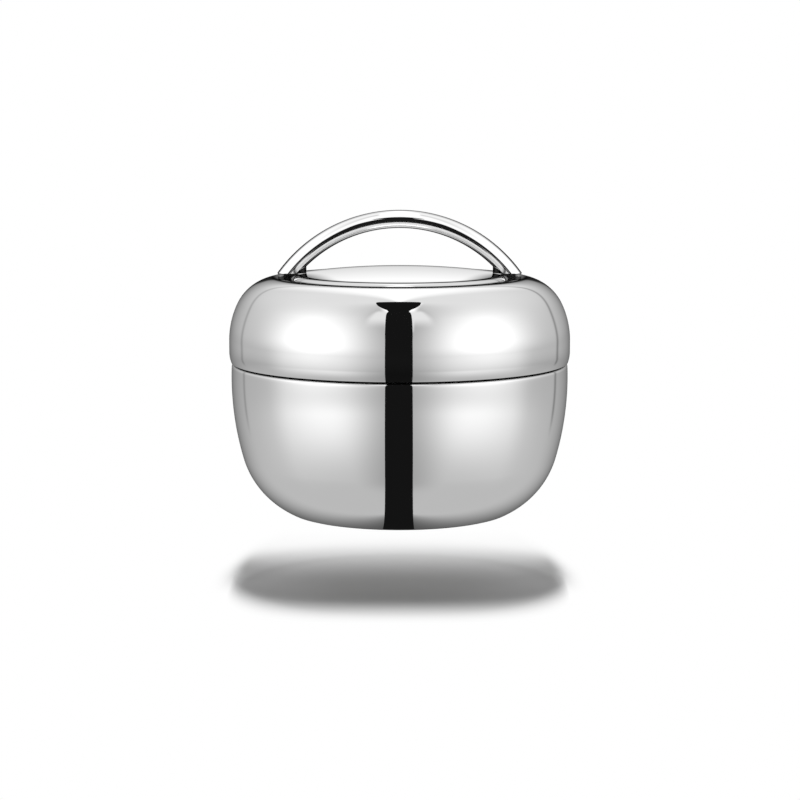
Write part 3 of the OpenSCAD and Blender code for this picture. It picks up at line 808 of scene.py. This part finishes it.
def lid_dish():
    """The steel dish in the lid, with a flange over the lock ring and a ring pressed into its floor."""
    guide_r, guide_low, flange_z, flange_r = 70.25, 89.9, 91.4, 83.17
    hollow_top, hollow_r = 103.4, 8.0
    ring_in, ring_out, slope, ring_h = 25.2, 46.0, 1.2, 0.4
    under = hollow_top - thin_sheet
    bend = (guide_r - hollow_r, hollow_top - hollow_r)
    section = ([(guide_r - thin_sheet, guide_low), (guide_r, guide_low), (guide_r, flange_z),
                (flange_r, flange_z), (flange_r, flange_z + thin_sheet), (guide_r, flange_z + thin_sheet)]
               + arc(bend, hollow_r, 0, 90, 12)
               + [(0, hollow_top), (0, under), (ring_in - slope, under), (ring_in, under - ring_h),
                  (ring_out, under - ring_h), (ring_out + slope, under)]
               + arc(bend, hollow_r - thin_sheet, 90, 0, 12))
    mesh = turned("lid_dish", closed_on_axis(section), satin, 256)
    add_piece("lid_dish", mesh, satin, "lid", "plain_steel", "lid_inner_shell")


def seal_ring():
    """The silicone ring on the lip, with a groove in its underside and one in its outer edge."""
    seal_in, seal_out, seal_z, seal_top, round_r = 70.55, 76.05, 88.9, 91.1, 0.5
    under_in, under_out, under_slope, under_h = 72.2, 74.2, 0.3, 0.35
    edge_low, edge_high, edge_slope, edge_depth = 89.8, 90.35, 0.15, 0.35
    section = ([(seal_in, seal_top), (seal_in, seal_z + round_r)]
               + arc((seal_in + round_r, seal_z + round_r), round_r, 180, 270, 5)[1:]
               + [(under_in, seal_z), (under_in + under_slope, seal_z + under_h),
                  (under_out - under_slope, seal_z + under_h), (under_out, seal_z)]
               + arc((seal_out - round_r, seal_z + round_r), round_r, 270, 360, 5)
               + [(seal_out, edge_low), (seal_out - edge_depth, edge_low + edge_slope),
                  (seal_out - edge_depth, edge_high - edge_slope), (seal_out, edge_high),
                  (seal_out, seal_top)])
    mesh = turned("seal_silicone", section, silicone, 256)
    add_piece("seal_silicone", mesh, silicone, "seal", "silicone", "lid_seal")


# Lugs are repeated four times round, and their hidden ends stay this far inside the wall
lugs_round = {"Count": 4, "Finish": polypropylene}
lug_root = 0.4


def neck_collar():
    """The collar on the neck: a wall with lugs, each with a lead-in under it and a stop at its end."""
    wall_in, wall_out, lug_out = neck_r + 0.05, 78.05, 80.15
    wall_top, wall_edge = seam_z + 11.5, 0.3
    lug_low, lug_high = 81.0, 83.8
    half, lead_length, lead_height = 18.0, 12.0, 1.0
    lead_sweep = math.degrees(lead_length / lug_out)
    stop_start, stop_sweep = half - 0.4, 3.4

    def lug_underside(degrees):
        """The lead-in slopes down to the lug's level over its first part."""
        return lug_low + lead_height * max(0.0, 1 - (degrees + half) / lead_sweep)

    section = [(wall_in, seam_z), (wall_out, seam_z), (wall_out, wall_top - wall_edge),
               (wall_out - wall_edge, wall_top), (wall_in, wall_top)]
    wall = turned("collar_wall", section, polypropylene, 192)
    lug_in = wall_in + lug_root
    lug = sector(lug_in, lug_out, lug_underside, lug_high, -half, 2 * half, 24)
    stop = sector(lug_in, lug_out, seam_z + lug_root, lug_high, stop_start, stop_sweep, 4)
    lugs = run_tree("collar_lugs", lug, repeated_tree, **lugs_round)
    stops = run_tree("collar_stops", stop, repeated_tree, **lugs_round)
    collar = joined("collar", wall, tidy_mesh(lugs), tidy_mesh(stops))
    add_piece("collar_moulded", collar, polypropylene, "pot", "dark_plastic", "neck_collar")


def lock_ring():
    """The ring in the lid: a wall, a flange over the collar, and lugs that go under the collar's lugs."""
    ring_in, ring_out, ring_low = 80.75, 83.2173, 76.65
    flange_top_z, flange_h, flange_r = 91.4, 2.0, neck_r + 0.35
    bevel = 0.3
    lug_in, lug_wall, lug_low, lug_high = 78.65, 0.6, 77.8, 80.6
    lug_start, lug_sweep = 22, 34
    section = [(ring_in, ring_low + bevel), (ring_in + bevel, ring_low), (ring_out - bevel, ring_low),
               (ring_out, ring_low + bevel), (ring_out, flange_top_z), (flange_r, flange_top_z),
               (flange_r, flange_top_z - flange_h + bevel), (flange_r + bevel, flange_top_z - flange_h),
               (ring_in, flange_top_z - flange_h)]
    ring = turned("ring_wall", section, polypropylene, 192)
    lug = sector(lug_in, ring_out - lug_wall, lug_low, lug_high, lug_start, lug_sweep, 24)
    lugs = run_tree("ring_lugs", lug, repeated_tree, **lugs_round)
    lock = joined("lock", ring, tidy_mesh(lugs))
    add_piece("lock_ring_moulded", lock, polypropylene, "lid", "dark_plastic", "lock_ring")


def bent_bar(work):
    """The handle's round bar, bent to an arch and cut level at the feet."""
    steps, round_steps = 220, 64
    buried = 6
    low_turn = math.asin((foot_z - buried - arch_z) / arch_r)
    rings = []
    for i in range(steps + 1):
        turn = low_turn + (math.pi - 2 * low_turn) * i / steps
        out = Vector((math.cos(turn), 0, math.sin(turn)))
        middle = out * arch_r + Vector((0, 0, arch_z))
        spins = [math.tau * k / round_steps for k in range(round_steps)]
        rims = [out * math.cos(spin) + Vector((0, math.sin(spin), 0)) for spin in spins]
        rings.append([work.verts.new((middle + bar_r * rim) * MM) for rim in rims])
    tube_faces(work, rings)
    cut = bmesh.ops.bisect_plane(work, geom=work.verts[:] + work.edges[:] + work.faces[:],
                                 plane_co=(0, 0, foot_z * MM), plane_no=(0, 0, -1), clear_outer=True)
    cut_edges = [e for e in cut["geom_cut"] if isinstance(e, bmesh.types.BMEdge)]
    bmesh.ops.holes_fill(work, edges=cut_edges, sides=0)


def heel(work, side):
    """The flat web that fills the corner between bar and foot on one side."""
    steps, length, least_width = 16, 8.2, 0.02
    inner_end = foot_x - foot_half
    sections = []
    for i in range(steps + 1):
        x = inner_end + length * (1 - math.cos(math.pi / 2 * i / steps))
        reach = max(inner_end + foot_r - x, 0)
        width = math.sqrt(max(foot_r ** 2 - reach ** 2, least_width ** 2))
        top = arch_z + math.sqrt(arch_r ** 2 - x ** 2)
        corners = [(-width, foot_z), (width, foot_z), (width, top), (-width, top)]
        sections.append([work.verts.new(Vector((side * x, y, z)) * MM) for y, z in corners])
    tube_faces(work, sections)


def handle_arch():
    """The handle: bar and heels."""
    work = bmesh.new()
    bent_bar(work)
    heel(work, 1)
    heel(work, -1)
    mesh = bpy.data.meshes.new("handle_arch")
    work.to_mesh(mesh)
    work.free()
    add_piece("handle_arch", tidy_mesh(mesh), bright_bar_painted_shade, "lid", "polished_steel", "handle")


shade_lid(lid_polish_painted_shade)
shade_handle(bright_bar_painted_shade)

pot_bowl()
pot_liner()
base_cap()
foot_ring()
lid_shell()
lid_dish()
seal_ring()
neck_collar()
lock_ring()
handle_arch()

# Pieces that keep their solids and get their finish here
finishes = {
    "base_plate": plain, "evacuation_seal": plain, "getter": getter_alloy, "heat_foil": foil,
    "lid_insulation": foam, "handle_seats": seat_steel_painted_shade, "handle_pads": silicone, "handle_washers": plain,
    "handle_spring_washers": plain, "handle_screws": plain,
}
for node_name, material in finishes.items():
    for material_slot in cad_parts[node_name].material_slots:
        material_slot.material = material


# Stage: floor, the dark slot of the light tent, the card for the handle, and the lamp

def sweep_material():
    """White sweep that shows the lamp's shadow, with painted shadow in its colour at the far corners and
    front. Away from the shadow the camera sees it pure white.
    """
    albedo = 0.92
    material, shader = new_material("white_sweep", gray(albedo), 0.0, 0.9)
    shader.inputs["Specular IOR Level"].default_value = 0.0
    tree = material.node_tree
    radius, x, y, _ = place_numbers(tree)
    shadow_r, shadow_front, squareness = 85.0, 62.0, 3.7
    side = ((x + 0.5) * (1 / shadow_r)).absolute()
    near_line = side.calc("POWER", squareness).rest().calc("MAXIMUM", 0.0).calc("SQRT") * shadow_front
    behind = y.rises(0, 150)
    before = (y + near_line).rises(-28, 27).rest()
    beside = (side + y.rises(30, 150) * 0.25).rises(0.94, 1.13)
    away = (behind.rest() * before.rest() * beside.rest()).rest()
    # Painted shadow in the floor's colour: it makes the shadow fuller at its far corners and darkest near
    # its front
    painted_shadow_corners = radius.rises(60, 100) * y.rises(-8, 38) * (y.rises(30, 105) * -0.65 + 0.8)
    painted_shadow_corners = painted_shadow_corners * side.rises(0.92, 1.06).rest()
    front = y.rises(-35, 10).rest() * 0.15
    tree.links.new(((painted_shadow_corners + front).rest() * albedo).socket, shader.inputs["Base Color"])
    seen = Varying(tree, tree.nodes.new("ShaderNodeLightPath").outputs["Is Camera Ray"])
    white = tree.nodes.new("ShaderNodeEmission").outputs[0]
    from_above = mixed_shader(tree, (away * seen).socket, shader.outputs[0], white)
    # From below the floor is clear, so that the underside can be looked at
    clear = tree.nodes.new("ShaderNodeBsdfTransparent").outputs[0]
    backfacing = tree.nodes.new("ShaderNodeNewGeometry").outputs["Backfacing"]
    both = mixed_shader(tree, backfacing, from_above, clear)
    tree.links.new(both, tree.nodes["Material Output"].inputs["Surface"])
    return material


def stage_floor():
    """The floor under the object, which seems to float over it."""
    floor_z = -38 * MM
    half = 12.0
    corners = [(x, y, floor_z) for x, y in ((-half, -half), (half, -half), (half, half), (-half, half))]
    mesh = bpy.data.meshes.new("floor")
    mesh.from_pydata(corners, [], [(0, 1, 2, 3)])
    mesh.materials.append(sweep_material())
    floor = bpy.data.objects.new("floor", mesh)
    scene.collection.objects.link(floor)
    floor.visible_glossy = False


def seen_through(material, amount):
    """Lets rays pass the material by a varying amount."""
    tree = material.node_tree
    clear = tree.nodes.new("ShaderNodeBsdfTransparent").outputs[0]
    solid = tree.nodes["Principled BSDF"].outputs[0]
    both = mixed_shader(tree, amount.socket, solid, clear)
    tree.links.new(both, tree.nodes["Material Output"].inputs["Surface"])


def mirrors_only(name, mesh):
    """A stage piece that only mirrors show."""
    card = bpy.data.objects.new(name, mesh)
    scene.collection.objects.link(card)
    card.visible_camera = False
    card.visible_diffuse = False
    card.visible_transmission = False
    card.visible_shadow = False
    return card


def smooth_through(knots, steps):
    """Points on a smooth curve through all knots, with so many steps from each knot to the next."""
    knots = np.array(knots, float)
    padded = np.vstack([2 * knots[0] - knots[1], knots, 2 * knots[-1] - knots[-2]])
    points = []
    for i in range(1, len(padded) - 2):
        a, b, c, d = padded[i - 1:i + 3]
        for t in np.linspace(0, 1, steps, endpoint=False):
            points.append(0.5 * (2 * b + (c - a) * t + (2 * a - 5 * b + 4 * c - d) * t ** 2
                                 + (3 * b - a - 3 * c + d) * t ** 3))
    points.append(padded[-2])
    return points


def tent_slot():
    """The dark slot that the camera looks through: a ribbon under, before and over the object."""
    # Place along Y, height and half the width, in millimetres, from below the pot to over the lid
    knots = [
        (90, -95, 12.6), (40, -118, 15.2), (-10, -125, 17.3), (-60, -118, 19.2),
        (-105, -95, 20.6), (-137, -60, 21.1), (-153, -15, 20.3), (-158, 40, 18.8),
        (-158, 100, 18.1), (-154, 130, 18.4), (-143, 155, 17.8), (-131.5, 166.5, 16.4),
        (-124, 171.5, 15.5), (-116, 175.2, 13.9), (-110, 177.2, 11.9), (-104.5, 178.8, 13.2),
        (-99, 180, 16.3), (-92, 181, 19.3), (-85, 181.7, 20.9), (-78, 182, 21.2),
        (-74, 182, 21.0), (-72, 182, 20.0), (-71, 182, 18.5),
    ]
    middle_x = -1
    verts = []
    for y, z, half in smooth_through(knots, 12):
        verts += [((middle_x - half) * MM, y * MM, z * MM), ((middle_x + half) * MM, y * MM, z * MM)]
    faces = [(i, i + 1, i + 3, i + 2) for i in range(0, len(verts) - 2, 2)]
    mesh = bpy.data.meshes.new("tent_slot")
    mesh.from_pydata(verts, [], faces)
    material, shader = new_material("slot_dark", (0, 0, 0), 0.0, 1.0)
    shader.inputs["Specular IOR Level"].default_value = 0.0
    shader.inputs["Emission Color"].default_value = (1, 1, 1, 1)
    shader.inputs["Emission Strength"].default_value = 0.009
    # The handle is farther off than the shells, and sees only the strip's upper end and lower half
    tree = material.node_tree
    path = tree.nodes.new("ShaderNodeLightPath")
    from_handle = Varying(tree, path.outputs["Ray Length"]).rises(0.132, 0.136)
    second = Varying(tree, path.outputs["Ray Depth"]).rises(1.4, 1.6)
    height = place_numbers(tree)[3]
    passed = from_handle * height.rises(0, 4)
    seen_through(material, passed.calc("MAXIMUM", second * height.rises(171, 174)))
    mesh.materials.append(material)
    mirrors_only("tent_slot", mesh)


def card_mesh(reach, aside, low, high, columns, rows):
    """Part of a sphere round the origin: its reach in metres, and its sides, foot and top in degrees."""
    verts, faces = [], []
    for i in range(rows + 1):
        up = math.radians(low + (high - low) * i / rows)
        for k in range(columns + 1):
            turn = math.radians(-aside + 2 * aside * k / columns)
            verts.append((reach * math.cos(up) * math.sin(turn), -reach * math.cos(up) * math.cos(turn),
                          reach * math.sin(up)))
    for i in range(rows):
        for k in range(columns):
            a = i * (columns + 1) + k
            faces.append((a, a + 1, a + columns + 2, a + columns + 1))
    mesh = bpy.data.meshes.new("far_card")
    mesh.from_pydata(verts, [], faces)
    return mesh


def far_card():
    """A white card round the camera with a dark strip in it. Only the handle mirrors it."""
    reach, middle_z = 3.0, 0.14
    mesh = card_mesh(reach, aside=42, low=-42, high=70, columns=36, rows=48)
    material, shader = new_material("far_white", (0, 0, 0), 0.0, 1.0)
    shader.inputs["Specular IOR Level"].default_value = 0.0
    shader.inputs["Emission Strength"].default_value = 1.05
    tree = material.node_tree
    radius, x, y, z = place_numbers(tree)
    turn = x.absolute().calc("ARCTAN2", y * -1.0) * math.degrees(1)
    rise = z.calc("ARCTAN2", radius) * math.degrees(1)
    # The dark strip, wider towards its lower end
    wider_below = (rise + 6.0).calc("MINIMUM", 0.0) * 0.2
    strip = (turn + wider_below).rises(7.2, 8.8).rest()
    strip = strip * rise.rises(-28, -26.5) * rise.rises(14, 17).rest()
    tree.links.new((strip * -0.99 + 1.0).socket, shader.inputs["Emission Color"])
    # Soft edges, and round upper corners
    sides = (turn + rise.rises(24, 34) * 12.0).rises(34, 41).rest()
    inside = sides * rise.rises(-41, -33) * rise.rises(58, 69).rest()
    # Only rays that start near the card's middle are long enough to see it
    length = Varying(tree, tree.nodes.new("ShaderNodeLightPath").outputs["Ray Length"])
    near_middle = length.rises(reach - 0.05, reach - 0.03)
    seen_through(material, (near_middle * inside).rest())
    mesh.materials.append(material)
    mirrors_only("far_card", mesh).location = (0, 0, middle_z)


def top_lamp():
    """The soft box straight above."""
    data = bpy.data.lights.new("top_soft_box", "AREA")
    data.shape = "ELLIPSE"
    data.size = 0.4
    data.size_y = 0.9
    data.energy = 33
    lamp = bpy.data.objects.new("top_soft_box", data)
    lamp.location = (0, 0.02, 2.0)
    scene.collection.objects.link(lamp)
    lamp.visible_glossy = False
    lamp.visible_camera = False


stage_floor()
tent_slot()
far_card()
top_lamp()
